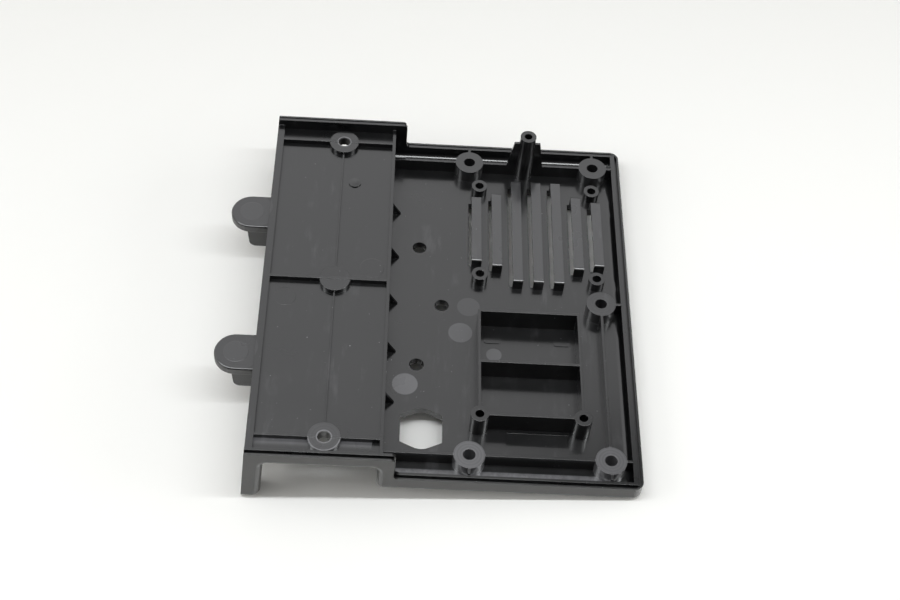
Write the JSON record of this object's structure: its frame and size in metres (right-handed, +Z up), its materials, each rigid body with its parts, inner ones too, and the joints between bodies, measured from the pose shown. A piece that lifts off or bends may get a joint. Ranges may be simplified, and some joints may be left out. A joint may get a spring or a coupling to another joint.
{
  "type": "injection moulded plastic housing",
  "caption": "Black moulded plastic housing half: a ribbed tray with screw bosses, louvres and a walled box beside a raised deck over a channel.",
  "frame": {"origin": "middle of the bounding box in plan, at the level of the feet", "axes": "+X across the part from the lugs to the tray, +Y from front to back, +Z up out of the open side"},
  "size_m": [0.1704, 0.1772, 0.0384],
  "materials": {
    "housing": "black, finely textured and slightly glossy"
  },
  "bodies": {
    "root": {"housing": "housing"}
  },
  "joints": []
}
